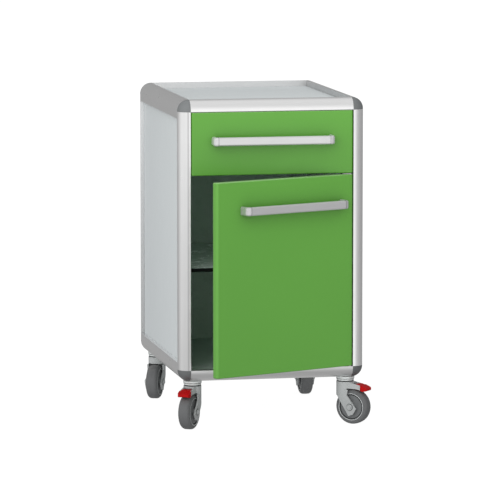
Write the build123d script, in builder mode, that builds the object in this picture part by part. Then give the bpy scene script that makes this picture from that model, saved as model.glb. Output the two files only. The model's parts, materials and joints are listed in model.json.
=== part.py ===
from build123d import *
import os
from math import cos, sin, radians, sqrt

# Bedside cabinet on four swivel casters (front pair braked), with a drawer above a
# cupboard whose door stands ajar.
# Frame: origin on the floor under the centre of the cabinet, X to the right,
# Y to the back (the drawer and the door face -Y), Z up. Millimetres.

os.makedirs("parts", exist_ok=True)

# ---------------------------------------------------------------- shared dimensions
WIDTH = 400.0            # over the corner posts
DEPTH = 500.0
Z_TOP = 700.0            # rim of the frame
Z_BASE = 102.0           # underside of the frame
SECTION = 25.0           # frame profile, quarter-round outside
ROUND = 24.0             # radius of the quarter round
LIP = 40.0               # height of the side and rear rails over the panels
LIP_IN = 13.5            # inner face of that raised part, from the outside face
RECESS = 7.9             # wall panels sit this far behind the frame's face
PANEL = 3.0              # wall and bottom panel thickness
SLOT = 3.2               # width of the groove for the wall panels
SLOT_FLOOR = 27.0        # floor of the rails' groove, from the frame's top or bottom edge
BORE_OUT, BORE_IN = 12.0, 21.0        # square bore of the profile, from the outside face
BORE_MID = (BORE_OUT + BORE_IN) / 2
BORE = BORE_IN - BORE_OUT
TOP_RECESS = 12.8        # top panel below the rim
TOP_PANEL = 4.0
LEDGE = 8.0              # inner ledge that carries the top and bottom panels
LEDGE_T = 2.5

HALF_WIDTH, HALF_DEPTH = WIDTH / 2, DEPTH / 2
OPEN_W = WIDTH - 2 * SECTION          # clear opening of the frame
OPEN_D = DEPTH - 2 * SECTION
Z_OPEN0 = Z_BASE + SECTION
Z_OPEN1 = Z_TOP - SECTION

FRONT_Y = -HALF_DEPTH    # outer face of the frame and of the closed fronts
FRONT_T = 18.0           # drawer front and door thickness
FRONT_GAP = 1.0          # drawer front to frame
FRONT_W = OPEN_W - 2 * FRONT_GAP
FACE_FILLET = 2.2        # top and bottom edges of both fronts
DOOR_Z0, DOOR_Z1 = Z_OPEN0 + 0.9, 538.0
PIVOT_IN = 6.0           # door pivot, in from the hinge edge and from the outer face
PIVOT_X = FRONT_W / 2 - PIVOT_IN
PIN_R = 3.0              # door pivot pins
PIN_SEAT = 11.0          # depth of the lower pin in the bottom rail
RUN = 0.05               # radial running clearance

LINER_T = 1.5
LINER_GAP = 0.2          # liner to frame
LINER_X = OPEN_W / 2 - LINER_GAP      # outer face of the liner sheet
LINER_Y = OPEN_D / 2 - LINER_GAP
LINER_IN = LINER_X - LINER_T
LINER_BACK = LINER_Y - LINER_T        # inner face of its rear wall
DIVIDER_Z = 538.7        # upper face of the sheet between drawer and cupboard

SCREW_R, SCREW_HOLE_R = 1.95, 2.0     # all screws and their holes
SCREW_IN = 63.5          # gusset screws, in from the outside of the frame
SCREW_UP = 9.0           # above the underside of the frame

SIDES = {"left": -1, "right": 1}      # sign of X
ENDS = {"front": -1, "rear": 1}       # sign of Y
LEVELS = {"top": (Z_TOP, -1), "bottom": (Z_BASE, 1)}  # edge height, direction into the frame
CORNERS = [(side, end) for side in (-1, 1) for end in (-1, 1)]

# how far the middle of a quarter arc lies in from the square corner, per unit of radius
ARC_MID = 1 - sqrt(0.5)
ROUND_MID = ROUND * ARC_MID
STANDING = (Align.CENTER, Align.CENTER, Align.MIN)


def save(builder, name):
    builder.part.label = name
    export_step(builder.part, "parts/" + name + ".step")


def save_group(solids, name):
    with BuildPart() as group:
        add(solids)
    save(group, name)


def corner_point(side, end, from_side, from_end):
    """A plan point measured inwards from the side face and the front or back face."""
    return (side * (HALF_WIDTH - from_side), end * (HALF_DEPTH - from_end))


# ---------------------------------------------------------------- frame posts
SLOT_IN = RECESS + SLOT


def post(name, side, end):
    outline = [(ROUND, 0), (SECTION, 0)]
    if end > 0:  # rear posts also hold the back panel
        outline += [(SECTION, RECESS), (BORE_IN, RECESS), (BORE_IN, SLOT_IN), (SECTION, SLOT_IN)]
    outline += [(SECTION, SECTION), (SLOT_IN, SECTION), (SLOT_IN, BORE_IN),
                (RECESS, BORE_IN), (RECESS, SECTION), (0, SECTION), (0, ROUND)]
    with BuildPart() as upright:
        with BuildSketch(Plane.XY.offset(Z_OPEN0)):
            with BuildLine():
                Polyline(*[corner_point(side, end, *point) for point in outline])
                ThreePointArc(corner_point(side, end, 0, ROUND),
                              corner_point(side, end, ROUND_MID, ROUND_MID),
                              corner_point(side, end, ROUND, 0))
            make_face()
            with Locations(corner_point(side, end, BORE_MID, BORE_MID)):
                Rectangle(BORE, BORE, mode=Mode.SUBTRACT)
        extrude(amount=Z_OPEN1 - Z_OPEN0)
    save(upright, name)


for end_name, end in ENDS.items():
    for side_name, side in SIDES.items():
        post(f"post_{end_name}_{side_name}", side, end)

# ---------------------------------------------------------------- frame rails
LEDGE_ROOT = 0.5         # overlap of the ledge with the profile
LEDGE_GAP = 0.1          # between the ledges at the corners
RAIL_SCREW_DEPTH = 8.0


def rail_section(plane, inward, rise, lip):
    """Profile of a rail. The plane's x times inward runs into the cabinet from the outside
    face, its y times rise runs from the frame's top or bottom edge."""
    outline = [(ROUND, 0), (SECTION, 0), (SECTION, SECTION)]
    if lip:
        outline += [(LIP_IN, SECTION), (LIP_IN, LIP), (SLOT_IN, LIP), (SLOT_IN, SLOT_FLOOR),
                    (RECESS, SLOT_FLOOR), (RECESS, LIP), (0, LIP)]
    else:
        outline += [(0, SECTION)]
    outline += [(0, ROUND)]
    with BuildSketch(plane) as section:
        with BuildLine():
            Polyline(*[(inward * x, rise * y) for x, y in outline])
            ThreePointArc((0, rise * ROUND), (inward * ROUND_MID, rise * ROUND_MID),
                          (inward * ROUND, 0))
        make_face()
        with Locations((inward * BORE_MID, rise * BORE_MID)):
            Rectangle(BORE, BORE, mode=Mode.SUBTRACT)
    return section.sketch


def ledge_section(plane, inward, rise, level):
    start = TOP_RECESS + TOP_PANEL if level == "top" else SECTION - PANEL - LEDGE_T
    with BuildSketch(plane) as section:
        with Locations((inward * (SECTION + (LEDGE - LEDGE_ROOT) / 2),
                        rise * (start + LEDGE_T / 2))):
            Rectangle(LEDGE + LEDGE_ROOT, LEDGE_T)
    return section.sketch


def side_rail(name, side, level):
    z, rise = LEVELS[level]
    # plane normal to Y: its x runs towards +X, its y towards +Z
    rear_end = Plane(origin=(side * HALF_WIDTH, HALF_DEPTH - SECTION, z),
                     x_dir=(1, 0, 0), z_dir=(0, -1, 0))
    with BuildPart() as rail:
        extrude(rail_section(rear_end, -side, rise, True), amount=OPEN_D)
        extrude(ledge_section(rear_end, -side, rise, level), amount=OPEN_D)
        if level == "bottom":
            # blind holes for the gusset screws
            for end in (-1, 1):
                with Locations(Plane(origin=(side * (HALF_WIDTH - SECTION),
                                             end * (HALF_DEPTH - SCREW_IN), Z_BASE + SCREW_UP),
                                     z_dir=(-side, 0, 0))):
                    Hole(radius=SCREW_HOLE_R, depth=RAIL_SCREW_DEPTH)
    save(rail, name)


def cross_rail(name, end, level):
    z, rise = LEVELS[level]

    def plane_at(x):
        # plane normal to X: its x runs towards +Y, its y towards +Z
        return Plane(origin=(x, end * HALF_DEPTH, z), x_dir=(0, 1, 0), z_dir=(1, 0, 0))

    ledge_in = LEDGE + LEDGE_GAP
    with BuildPart() as rail:
        extrude(rail_section(plane_at(-OPEN_W / 2), -end, rise, end > 0), amount=OPEN_W)
        extrude(ledge_section(plane_at(-OPEN_W / 2 + ledge_in), -end, rise, level),
                amount=OPEN_W - 2 * ledge_in)
        if level == "bottom":
            for side in (-1, 1):
                with Locations(Plane(origin=(side * (HALF_WIDTH - SCREW_IN),
                                             end * (HALF_DEPTH - SECTION), Z_BASE + SCREW_UP),
                                     z_dir=(0, -end, 0))):
                    Hole(radius=SCREW_HOLE_R, depth=RAIL_SCREW_DEPTH)
            if end < 0:
                # seat of the lower door pivot pin
                with Locations(Plane(origin=(PIVOT_X, FRONT_Y + PIVOT_IN, Z_OPEN0))):
                    Hole(radius=PIN_R, depth=PIN_SEAT)
    save(rail, name)


for level in LEVELS:
    for side_name, side in SIDES.items():
        side_rail(f"rail_{level}_{side_name}", side, level)
    for end_name, end in ENDS.items():
        cross_rail(f"rail_{level}_{end_name}", end, level)

# ---------------------------------------------------------------- corner caps
PEG = 8.8                # square pegs that plug the bores of the post and the two rails
PEG_L = 10.0
PEG_MID = SECTION + PEG_L / 2


def corner_cap(side, end, z, rise):
    tip = Vector(side * HALF_WIDTH, end * HALF_DEPTH, z)
    with BuildPart() as cap:
        with Locations((*corner_point(side, end, SECTION / 2, SECTION / 2),
                        z + rise * SECTION / 2)):
            Box(SECTION, SECTION, SECTION)
        # the three edges that meet at the outer tip
        fillet(cap.edges().sort_by(lambda e: min((v - tip).length for v in (e @ 0, e @ 1)))[:3],
               ROUND)
        with Locations((*corner_point(side, end, BORE_MID, BORE_MID), z + rise * PEG_MID)):
            Box(PEG, PEG, PEG_L)
        with Locations((*corner_point(side, end, BORE_MID, PEG_MID), z + rise * BORE_MID)):
            Box(PEG, PEG_L, PEG)
        with Locations((*corner_point(side, end, PEG_MID, BORE_MID), z + rise * BORE_MID)):
            Box(PEG_L, PEG, PEG)
    return cap.part


save_group([corner_cap(side, end, z, rise)
            for side, end in CORNERS for z, rise in LEVELS.values()], "corner_caps")

# ---------------------------------------------------------------- panels
SLOT_PLAY = 0.1          # wall panel to the outer wall of its groove
WALL_EDGE = SLOT_FLOOR + 0.3          # upper and lower edges, from the frame's edges
WALL_END = BORE_IN + 0.4              # upright edges, from the frame's faces
FLAT_GAP = 0.4           # top and bottom panels to the frame all round
WALL_Z0, WALL_H = Z_BASE + WALL_EDGE, Z_TOP - Z_BASE - 2 * WALL_EDGE
WALL_IN = RECESS + SLOT_PLAY + PANEL / 2
FLAT_SIZE = (OPEN_W - 2 * FLAT_GAP, OPEN_D - 2 * FLAT_GAP)


def panel(name, centre, size, z, height):
    with BuildPart() as sheet:
        with BuildSketch(Plane.XY.offset(z)):
            with Locations(centre):
                Rectangle(*size)
        extrude(amount=height)
    save(sheet, name)


for side_name, side in SIDES.items():
    panel("side_panel_" + side_name, (side * (HALF_WIDTH - WALL_IN), 0),
          (PANEL, DEPTH - 2 * WALL_END), WALL_Z0, WALL_H)
panel("back_panel", (0, HALF_DEPTH - WALL_IN), (WIDTH - 2 * WALL_END, PANEL), WALL_Z0, WALL_H)
panel("top_panel", (0, 0), FLAT_SIZE, Z_TOP - TOP_RECESS - TOP_PANEL, TOP_PANEL)
panel("bottom_panel", (0, 0), FLAT_SIZE, Z_OPEN0 - PANEL, PANEL)

# ---------------------------------------------------------------- inside sheets
LINER_Z0, LINER_Z1 = Z_OPEN0 + 0.1, Z_OPEN1 - 0.3
SHELF_Z, SHELF_T = 342.0, 7.0         # upper face and thickness
SHELF_W = 345.0
SHELF_Y0, SHELF_Y1 = FRONT_Y + 20.5, LINER_BACK - 0.3
SHELF_PIN_Y = (-175.0, 175.0)
SHELF_PIN_R, SHELF_PIN_L = 2.5, 12.0
SHELF_PIN_X = 166.0      # inner tip of the pins
SHELF_PIN_Z = SHELF_Z - SHELF_T - SHELF_PIN_R
COLLAR_R, COLLAR_T = 4.0, 0.6         # collar of a shelf pin, against the liner

with BuildPart() as inner_liner:
    # side walls and rear wall in one sheet, open to the front
    with BuildSketch(Plane.XY.offset(LINER_Z0)):
        Rectangle(2 * LINER_X, 2 * LINER_Y)
        with Locations((0, -LINER_T)):
            Rectangle(2 * LINER_IN, 2 * LINER_Y, mode=Mode.SUBTRACT)
    extrude(amount=LINER_Z1 - LINER_Z0)
    for y in SHELF_PIN_Y:
        with Locations(Plane(origin=(0, y, SHELF_PIN_Z), z_dir=(1, 0, 0))):
            Cylinder(SHELF_PIN_R + RUN, 2 * WIDTH, mode=Mode.SUBTRACT)
save(inner_liner, "inner_liner")

DIVIDER_T, DIVIDER_H = 1.0, 9.0       # sheet thickness, height of its turned-down edges
DIVIDER_X = LINER_IN - 0.2
DIVIDER_Y0, DIVIDER_Y1 = FRONT_Y + 45.0, LINER_BACK - 0.2
DIVIDER_MID, DIVIDER_L = (DIVIDER_Y0 + DIVIDER_Y1) / 2, DIVIDER_Y1 - DIVIDER_Y0

with BuildPart() as divider_panel:
    # flat sheet with its side and rear edges turned down
    with BuildSketch(Plane.XY.offset(DIVIDER_Z - DIVIDER_H)):
        with Locations((0, DIVIDER_MID)):
            Rectangle(2 * DIVIDER_X, DIVIDER_L)
    extrude(amount=DIVIDER_H)
    with BuildSketch(Plane.XY.offset(DIVIDER_Z - DIVIDER_H)):
        with Locations((0, DIVIDER_MID - 1.5 * DIVIDER_T)):
            Rectangle(2 * (DIVIDER_X - DIVIDER_T), DIVIDER_L + DIVIDER_T)
    extrude(amount=DIVIDER_H - DIVIDER_T, mode=Mode.SUBTRACT)
save(divider_panel, "divider_panel")

with BuildPart() as shelf:
    with BuildSketch(Plane.XY.offset(SHELF_Z - SHELF_T)):
        with Locations((0, (SHELF_Y0 + SHELF_Y1) / 2)):
            Rectangle(SHELF_W, SHELF_Y1 - SHELF_Y0)
    extrude(amount=SHELF_T)
    # upper and lower front edges
    fillet(shelf.edges().group_by(Axis.Y)[0].filter_by(Axis.X), 1.5)
save(shelf, "shelf")

with BuildPart() as shelf_pins:
    for side in (-1, 1):
        for y in SHELF_PIN_Y:
            with Locations(Plane(origin=(side * SHELF_PIN_X, y, SHELF_PIN_Z), z_dir=(side, 0, 0))):
                Cylinder(SHELF_PIN_R, SHELF_PIN_L, align=STANDING)
            with Locations(Plane(origin=(side * (LINER_IN - COLLAR_T), y, SHELF_PIN_Z),
                                 z_dir=(side, 0, 0))):
                Cylinder(COLLAR_R, COLLAR_T, align=STANDING)
save(shelf_pins, "shelf_pins")

# ---------------------------------------------------------------- drawer
HANDLE_L = 261.0         # both bow handles, over the ends
HANDLE_T = 10.0
FOOT_X = (HANDLE_L - HANDLE_T) / 2    # handle feet and screws, from the handle's centre
DRAWER_HANDLE_Z = 613.7

DRAWER_Z0, DRAWER_Z1 = 540.5, Z_OPEN1 - FRONT_GAP
DRAWER_EDGE_R = 4.5      # upright edges
TRAY_X, TRAY_T = 160.4, 1.5           # outer face of the side walls, sheet thickness
TRAY_Z0, TRAY_Z1 = 548.0, 650.0
TRAY_DEPTH = 440.0
TRAY_Y0 = FRONT_Y + FRONT_T

with BuildPart() as drawer_front:
    with BuildSketch(Plane.XY.offset(DRAWER_Z0)):
        with Locations((0, FRONT_Y + FRONT_T / 2)):
            RectangleRounded(FRONT_W, FRONT_T, DRAWER_EDGE_R)
    extrude(amount=DRAWER_Z1 - DRAWER_Z0)
    fillet(drawer_front.edges().group_by(Axis.Z)[0] + drawer_front.edges().group_by(Axis.Z)[-1],
           FACE_FILLET)
    for side in (-1, 1):
        with Locations(Plane(origin=(side * FOOT_X, TRAY_Y0, DRAWER_HANDLE_Z), z_dir=(0, 1, 0))):
            Hole(radius=SCREW_HOLE_R, depth=FRONT_T)
save(drawer_front, "drawer_front")

with BuildPart() as drawer_tray:
    with BuildSketch(Plane.XY.offset(TRAY_Z0)):
        with Locations((0, TRAY_Y0 + TRAY_DEPTH / 2)):
            Rectangle(2 * TRAY_X, TRAY_DEPTH)
    extrude(amount=TRAY_Z1 - TRAY_Z0)
    with BuildSketch(Plane.XY.offset(TRAY_Z0 + TRAY_T)):
        with Locations((0, TRAY_Y0 + TRAY_DEPTH / 2)):
            Rectangle(2 * (TRAY_X - TRAY_T), TRAY_DEPTH - 2 * TRAY_T)
    extrude(amount=TRAY_Z1 - TRAY_Z0, mode=Mode.SUBTRACT)
    for side in (-1, 1):
        with Locations(Plane(origin=(side * FOOT_X, TRAY_Y0 + TRAY_T, DRAWER_HANDLE_Z),
                             z_dir=(0, 1, 0))):
            Hole(radius=SCREW_HOLE_R, depth=TRAY_T)
save(drawer_tray, "drawer_tray")

# ---------------------------------------------------------------- door
DOOR_OPEN = radians(22.67)            # the door stands ajar by this angle
DOOR_LEFT = -341.5       # free edge, from the pivot along the door
DOOR_EDGE_R = 5.5        # upright edges
DOOR_HANDLE_Z = 476.8
DOOR_HANDLE_X = -151.8   # centre of the door handle, from the pivot along the door
BUSH_R, BUSH_L = 5.0, 12.5
SOCKET_OVERRUN = 1.0     # the socket cuts start this far outside the door

# door plane: origin on the pivot axis, x along the door towards the hinge edge,
# y into the cabinet
DOOR_ALONG = (cos(DOOR_OPEN), sin(DOOR_OPEN), 0)
DOOR_INWARD = Vector(-sin(DOOR_OPEN), cos(DOOR_OPEN), 0)
DOOR = Plane(origin=(PIVOT_X, FRONT_Y + PIVOT_IN, 0), x_dir=DOOR_ALONG, z_dir=(0, 0, 1))


def at_door(x, y, z):
    return DOOR.from_local_coords((x, y, z))


DOOR_SCREW_SEATS = [at_door(DOOR_HANDLE_X + s * FOOT_X, FRONT_T - PIVOT_IN, DOOR_HANDLE_Z)
                    for s in (-1, 1)]

with BuildPart() as door_panel:
    with BuildSketch(DOOR.offset(DOOR_Z0)):
        with Locations(((DOOR_LEFT + PIVOT_IN) / 2, -PIVOT_IN + FRONT_T / 2)):
            RectangleRounded(PIVOT_IN - DOOR_LEFT, FRONT_T, DOOR_EDGE_R)
    extrude(amount=DOOR_Z1 - DOOR_Z0)
    fillet(door_panel.edges().group_by(Axis.Z)[0] + door_panel.edges().group_by(Axis.Z)[-1],
           FACE_FILLET)
    # sockets for the pivot bushes
    for z in (DOOR_Z0 - SOCKET_OVERRUN, DOOR_Z1 - BUSH_L):
        with BuildSketch(DOOR.offset(z)):
            Circle(BUSH_R)
        extrude(amount=BUSH_L + SOCKET_OVERRUN, mode=Mode.SUBTRACT)
    for seat in DOOR_SCREW_SEATS:
        with Locations(Plane(origin=seat, z_dir=DOOR_INWARD)):
            Hole(radius=SCREW_HOLE_R, depth=FRONT_T)
save(door_panel, "door_panel")

with BuildPart() as door_bushes:
    for z in (DOOR_Z0, DOOR_Z1 - BUSH_L):
        with BuildSketch(DOOR.offset(z)):
            Circle(BUSH_R)
            Circle(PIN_R + RUN, mode=Mode.SUBTRACT)
        extrude(amount=BUSH_L)
save(door_bushes, "door_bushes")

LOWER_PIN_UP = 12.3      # lower pin above the bottom rail
UPPER_PIN_IN = 12.0      # upper pin inside the door
THRUST_R, THRUST_T = 5.4, 0.7
BRACKET_X, BRACKET_Y = PIVOT_X - 6.5, FRONT_Y + 46.0
BRACKET_W, BRACKET_L, BRACKET_T, BRACKET_R = 22.0, 90.0, 1.2, 4.0

with BuildPart() as door_pivots:
    # lower pin with its thrust collar, pressed into the bottom front rail
    with BuildSketch(DOOR.offset(Z_OPEN0 - PIN_SEAT)):
        Circle(PIN_R)
    extrude(amount=PIN_SEAT + LOWER_PIN_UP)
    with BuildSketch(DOOR.offset(Z_OPEN0)):
        Circle(THRUST_R)
    extrude(amount=THRUST_T)
    # upper bracket on the divider sheet, with its pin
    with BuildSketch(Plane.XY.offset(DIVIDER_Z)):
        with Locations((BRACKET_X, BRACKET_Y)):
            RectangleRounded(BRACKET_W, BRACKET_L, BRACKET_R)
    extrude(amount=BRACKET_T)
    with BuildSketch(DOOR.offset(DOOR_Z1 - UPPER_PIN_IN)):
        Circle(PIN_R)
    extrude(amount=DIVIDER_Z - DOOR_Z1 + UPPER_PIN_IN)
save(door_pivots, "door_pivots")

# ---------------------------------------------------------------- bow handles
HANDLE_H = 18.5
HANDLE_OUT = 27.0        # stands this far off the panel
HANDLE_BEND = 5.4        # centre-line radius of the end elbows
HANDLE_R = 4.0           # corners of the handle's section
HANDLE_SCREW_IN = 12.0   # screw length inside the handle
HANDLE_HOLE = 12.5
SCREW_HEAD_R, SCREW_HEAD_T = 4.0, 2.4


def handle(prefix, face, centre_x, centre_z):
    """A straight bar with two elbows. face: plane on the panel's outer face whose
    x runs along the handle, y runs up and z points out of the panel."""
    half_bar = FOOT_X - HANDLE_BEND
    out = HANDLE_OUT - HANDLE_T / 2                       # centre line off the panel

    def at(x, z):
        return face.from_local_coords((centre_x + x, centre_z, z))

    with BuildPart() as bar:
        with BuildSketch(Plane(origin=at(-half_bar, out), x_dir=face.z_dir, z_dir=face.x_dir)):
            RectangleRounded(HANDLE_T, HANDLE_H, HANDLE_R)
        extrude(amount=2 * half_bar)
        # the two smallest flat faces
        chamfer(bar.faces().filter_by(GeomType.PLANE).sort_by(SortBy.AREA)[:2].edges(), 0.5)
    save(bar, prefix + "_handle_bar")

    elbows = []
    for s in (-1, 1):
        foot = s * FOOT_X
        bend_mid = HANDLE_BEND * ARC_MID
        with BuildPart() as elbow:
            with BuildLine() as path:
                Line(at(foot, 0), at(foot, out - HANDLE_BEND))
                ThreePointArc(at(foot, out - HANDLE_BEND),
                              at(foot - s * bend_mid, out - bend_mid),
                              at(foot - s * HANDLE_BEND, out))
            with BuildSketch(Plane(origin=at(foot, 0), x_dir=face.x_dir, z_dir=face.z_dir)):
                RectangleRounded(HANDLE_T, HANDLE_H, HANDLE_R)
            sweep(path=path.wires()[0])
            with Locations(Plane(origin=at(foot, 0), z_dir=-face.z_dir)):
                Hole(radius=SCREW_HOLE_R, depth=HANDLE_HOLE)
        elbows.append(elbow.part)
    save_group(elbows, prefix + "_handle_ends")


def handle_screws(prefix, seats, outward, wall):
    """Screws seated on the inner face of a wall of this thickness, running outward."""
    with BuildPart() as screws:
        for seat in seats:
            with Locations(Plane(origin=seat, z_dir=outward)):
                Cylinder(SCREW_R, HANDLE_SCREW_IN + wall, align=STANDING)
            with Locations(Plane(origin=seat - outward * SCREW_HEAD_T, z_dir=outward)):
                Cylinder(SCREW_HEAD_R, SCREW_HEAD_T, align=STANDING)
    save(screws, prefix + "_handle_screws")


DRAWER_FACE = Plane(origin=(0, FRONT_Y, 0), x_dir=(1, 0, 0), z_dir=(0, -1, 0))
DOOR_FACE = Plane(origin=at_door(0, -PIVOT_IN, 0), x_dir=DOOR_ALONG, z_dir=-DOOR_INWARD)
handle("drawer", DRAWER_FACE, 0.0, DRAWER_HANDLE_Z)
handle("door", DOOR_FACE, DOOR_HANDLE_X, DOOR_HANDLE_Z)
handle_screws("drawer", [Vector(s * FOOT_X, TRAY_Y0 + TRAY_T, DRAWER_HANDLE_Z) for s in (-1, 1)],
              Vector(0, -1, 0), FRONT_T + TRAY_T)
handle_screws("door", DOOR_SCREW_SEATS, -DOOR_INWARD, FRONT_T)

# ---------------------------------------------------------------- drawer slides
SLIDE_Z = 590.0          # mid height


def channel(name, web_x, lip_x, half_height, sheet, front_in, length):
    """Two channels, one per side: web at web_x, open towards lip_x, starting
    front_in behind the cabinet's front."""
    opening = 1 if lip_x > web_x else -1
    overrun = 1.0        # the hollow runs this far out of the open side
    width = abs(lip_x - web_x)
    middle = (web_x + lip_x) / 2
    with BuildPart() as pair:
        for side in (-1, 1):
            with BuildSketch(Plane(origin=(0, FRONT_Y + front_in + length, 0),
                                   x_dir=(1, 0, 0), z_dir=(0, -1, 0))):
                with Locations((side * middle, SLIDE_Z)):
                    Rectangle(width, 2 * half_height)
                with Locations((side * (middle + opening * (sheet + overrun) / 2), SLIDE_Z)):
                    Rectangle(width - sheet + overrun, 2 * (half_height - sheet),
                              mode=Mode.SUBTRACT)
            extrude(amount=length)
    save(pair, name)


channel("slide_outer_members", LINER_IN, 162.4, 22.5, 1.2, 26.0, 440.0)
channel("slide_middle_members", 171.3, 163.0, 20.7, 1.1, 26.0, 440.0)
channel("slide_inner_members", TRAY_X, 169.0, 18.8, 1.2, 22.0, 436.0)

# ---------------------------------------------------------------- magnetic catch
CATCH_X, CATCH_Y = -78.0, FRONT_Y + 18.6              # middle of its front face
CATCH_W, CATCH_D, CATCH_H = 40.0, 9.8, 13.0
NOTCH_W, NOTCH_D, NOTCH_Z, NOTCH_H = 32.0, 1.0, 3.0, 7.0
EARS_W, EARS_D, EARS_T, EARS_R = 60.0, 8.8, 2.5, 3.0

with BuildPart() as magnet_catch:
    # stands on the bottom rail; shallow notch in front, an ear at each end
    with BuildSketch(Plane.XY.offset(Z_OPEN0)):
        with Locations((CATCH_X, CATCH_Y + CATCH_D / 2)):
            Rectangle(CATCH_W, CATCH_D)
    extrude(amount=CATCH_H)
    with BuildSketch(Plane.XY.offset(Z_OPEN0 + NOTCH_Z)):
        with Locations((CATCH_X, CATCH_Y)):
            Rectangle(NOTCH_W, 2 * NOTCH_D)
    extrude(amount=NOTCH_H, mode=Mode.SUBTRACT)
    with BuildSketch(Plane.XY.offset(Z_OPEN0)):
        with Locations((CATCH_X, CATCH_Y + CATCH_D - EARS_D / 2)):
            RectangleRounded(EARS_W, EARS_D, EARS_R)
    extrude(amount=EARS_T)
save(magnet_catch, "magnet_catch")

# ---------------------------------------------------------------- base gussets
SWIVEL_X, SWIVEL_IN = 166.0, 35.0     # swivel axes, in from the front and back faces
THREAD_R = 4.0           # king pin thread
GUSSET_T = 3.0
GUSSET_IN = 25.1         # outer edges, from the frame's faces
GUSSET_FAR, GUSSET_CUT = 76.0, 46.0   # inner ends and the slanted edge between them
NUT_APOTHEM, NUT_H = 6.5, 6.5
FLANGE_T, FLANGE_L, FLANGE_H = 2.0, 24.0, 15.0
FLANGE_MID = 64.0        # along the rails, from the frame's faces
GUSSET_HEAD_R, GUSSET_HEAD_T, GUSSET_SCREW_L = 3.8, 2.2, 9.0


def screw_planes(side, end, inset):
    """Planes of the two gusset screws of a corner, inset from the frame's faces."""
    z = Z_BASE + SCREW_UP
    return (Plane(origin=(*corner_point(side, end, inset, SCREW_IN), z), z_dir=(side, 0, 0)),
            Plane(origin=(*corner_point(side, end, SCREW_IN, inset), z), z_dir=(0, end, 0)))


def base_gusset(side, end):
    outline = ((GUSSET_IN, GUSSET_IN), (GUSSET_FAR, GUSSET_IN), (GUSSET_FAR, GUSSET_CUT),
               (GUSSET_CUT, GUSSET_FAR), (GUSSET_IN, GUSSET_FAR))
    swivel = (side * SWIVEL_X, end * (HALF_DEPTH - SWIVEL_IN))
    flange_in = GUSSET_IN + FLANGE_T / 2
    with BuildPart() as gusset:
        with BuildSketch(Plane.XY.offset(Z_BASE)):
            with BuildLine():
                Polyline(*[corner_point(side, end, *point) for point in outline], close=True)
            make_face()
            with Locations(swivel):
                Circle(THREAD_R + RUN, mode=Mode.SUBTRACT)
        extrude(amount=GUSSET_T)
        # weld nut for the king pin
        with BuildSketch(Plane.XY.offset(Z_BASE + GUSSET_T)):
            with Locations(swivel):
                RegularPolygon(NUT_APOTHEM, 6, major_radius=False)
                Circle(THREAD_R + RUN, mode=Mode.SUBTRACT)
        extrude(amount=NUT_H)
        # upturned flanges against the rails
        with BuildSketch(Plane.XY.offset(Z_BASE)):
            with Locations(corner_point(side, end, flange_in, FLANGE_MID)):
                Rectangle(FLANGE_T, FLANGE_L)
            with Locations(corner_point(side, end, FLANGE_MID, flange_in)):
                Rectangle(FLANGE_L, FLANGE_T)
        extrude(amount=FLANGE_H)
        for plane in screw_planes(side, end, SECTION):
            with Locations(plane):
                Cylinder(SCREW_HOLE_R, 3 * FLANGE_T, mode=Mode.SUBTRACT)
    return gusset.part


save_group([base_gusset(side, end) for side, end in CORNERS], "base_gussets")

with BuildPart() as gusset_screws:
    for side, end in CORNERS:
        with Locations(*screw_planes(side, end, GUSSET_IN + FLANGE_T)):
            Cylinder(SCREW_R, GUSSET_SCREW_L, align=STANDING)
        with Locations(*screw_planes(side, end, GUSSET_IN + FLANGE_T + GUSSET_HEAD_T)):
            Cylinder(GUSSET_HEAD_R, GUSSET_HEAD_T, align=STANDING)
save(gusset_screws, "gusset_screws")

# ---------------------------------------------------------------- casters: fixed pieces
SWIVELS = {f"{end_name}_{side_name}": (side * SWIVEL_X, end * (HALF_DEPTH - SWIVEL_IN))
           for end_name, end in ENDS.items() for side_name, side in SIDES.items()}
HEAD_R = 19.0            # fork head and half width of the fork
FORK_TOP = Z_BASE - 11.2
FORK_TOP_T = 4.0         # top wall of the fork
SEAL_TOP = Z_BASE - 8.8
SEAL_GAP = 0.2           # seal above the fork
SEAL_R, SEAL_BORE_R = HEAD_R - 0.9, 13.0
PLATE_R, PLATE_T = HEAD_R + 0.75, 4.5
PLATE_STEP_R = HEAD_R - 0.4           # narrower step under the plate
SHANK_R = 5.0            # king pin shank
RIVET_R, RIVET_T = 8.5, 3.3           # king pin head
RIVET_TOP = FORK_TOP - 4.3
THREAD_L = 12.0


def caster_plate(swivel):
    with BuildPart() as plate:
        with BuildSketch(Plane.XY.offset(Z_BASE - PLATE_T)):
            with Locations(swivel):
                Circle(PLATE_R)
        extrude(amount=PLATE_T)
        with BuildSketch(Plane.XY.offset(SEAL_TOP)):
            with Locations(swivel):
                Circle(PLATE_STEP_R)
        extrude(amount=Z_BASE - PLATE_T - SEAL_TOP)
        # upper rim
        fillet(plate.edges().filter_by(GeomType.CIRCLE).group_by(Axis.Z)[-1], 0.6)
        with BuildSketch(Plane.XY.offset(SEAL_TOP - 1.0)):
            with Locations(swivel):
                Circle(SHANK_R)
        extrude(amount=Z_BASE - SEAL_TOP + 2.0, mode=Mode.SUBTRACT)
    return plate.part


save_group([caster_plate(swivel) for swivel in SWIVELS.values()], "caster_plates")

with BuildPart() as swivel_seals:
    with BuildSketch(Plane.XY.offset(FORK_TOP + SEAL_GAP)):
        with Locations(*SWIVELS.values()):
            Circle(SEAL_R)
        with Locations(*SWIVELS.values()):
            Circle(SEAL_BORE_R, mode=Mode.SUBTRACT)
    extrude(amount=SEAL_TOP - FORK_TOP - SEAL_GAP)
save(swivel_seals, "swivel_seals")

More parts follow.
